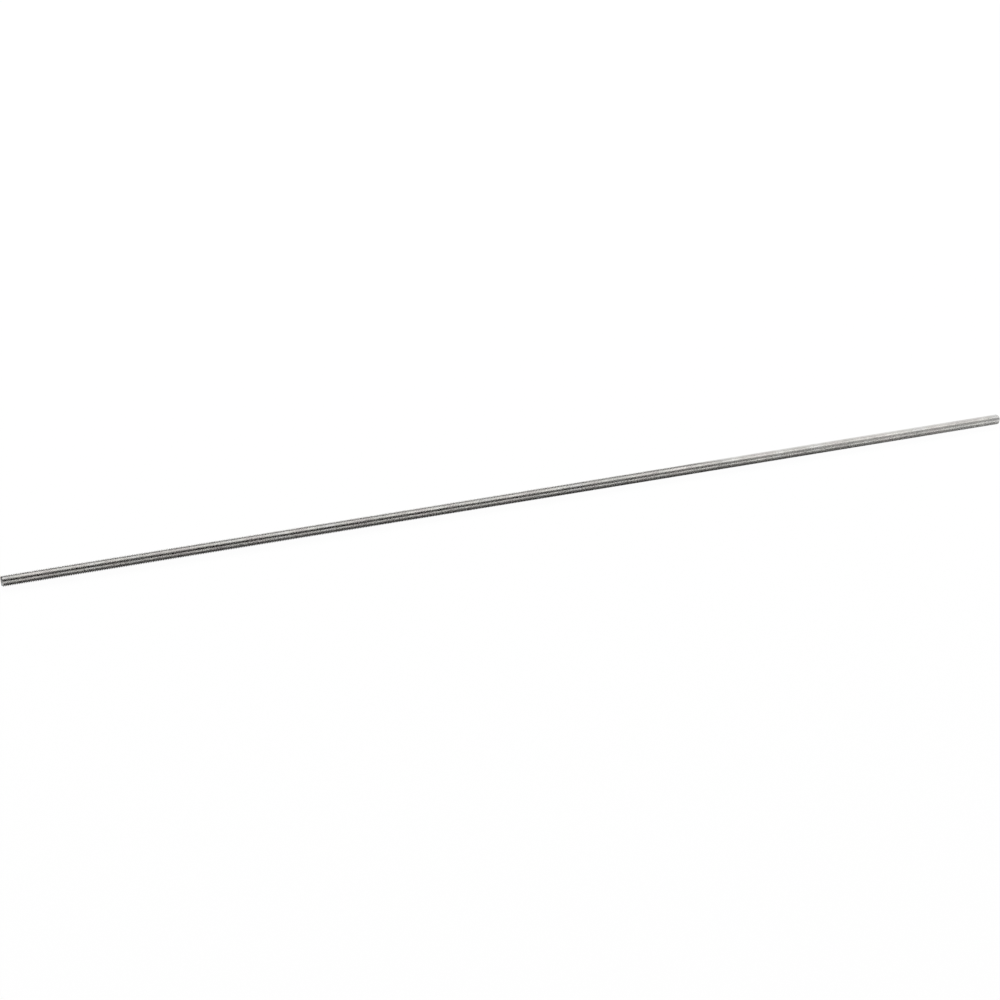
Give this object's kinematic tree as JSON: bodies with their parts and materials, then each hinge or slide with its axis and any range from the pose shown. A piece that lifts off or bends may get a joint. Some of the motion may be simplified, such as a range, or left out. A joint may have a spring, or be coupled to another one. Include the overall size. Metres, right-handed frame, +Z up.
{
  "type": "threaded rod",
  "caption": "Straight steel rod threaded over its whole length, with square cut, chamfered ends.",
  "frame": {"origin": "middle of the rod's axis, halfway between its two end faces", "axes": "+X along the rod's axis, +Z up as the rod lies level"},
  "size_m": [1, 0.01, 0.01],
  "materials": {
    "zinc_plated_steel": "rolled thread, dull bright zinc with darker, slightly oily grooves"
  },
  "bodies": {
    "root": {"threaded_rod": "zinc_plated_steel"}
  },
  "joints": []
}
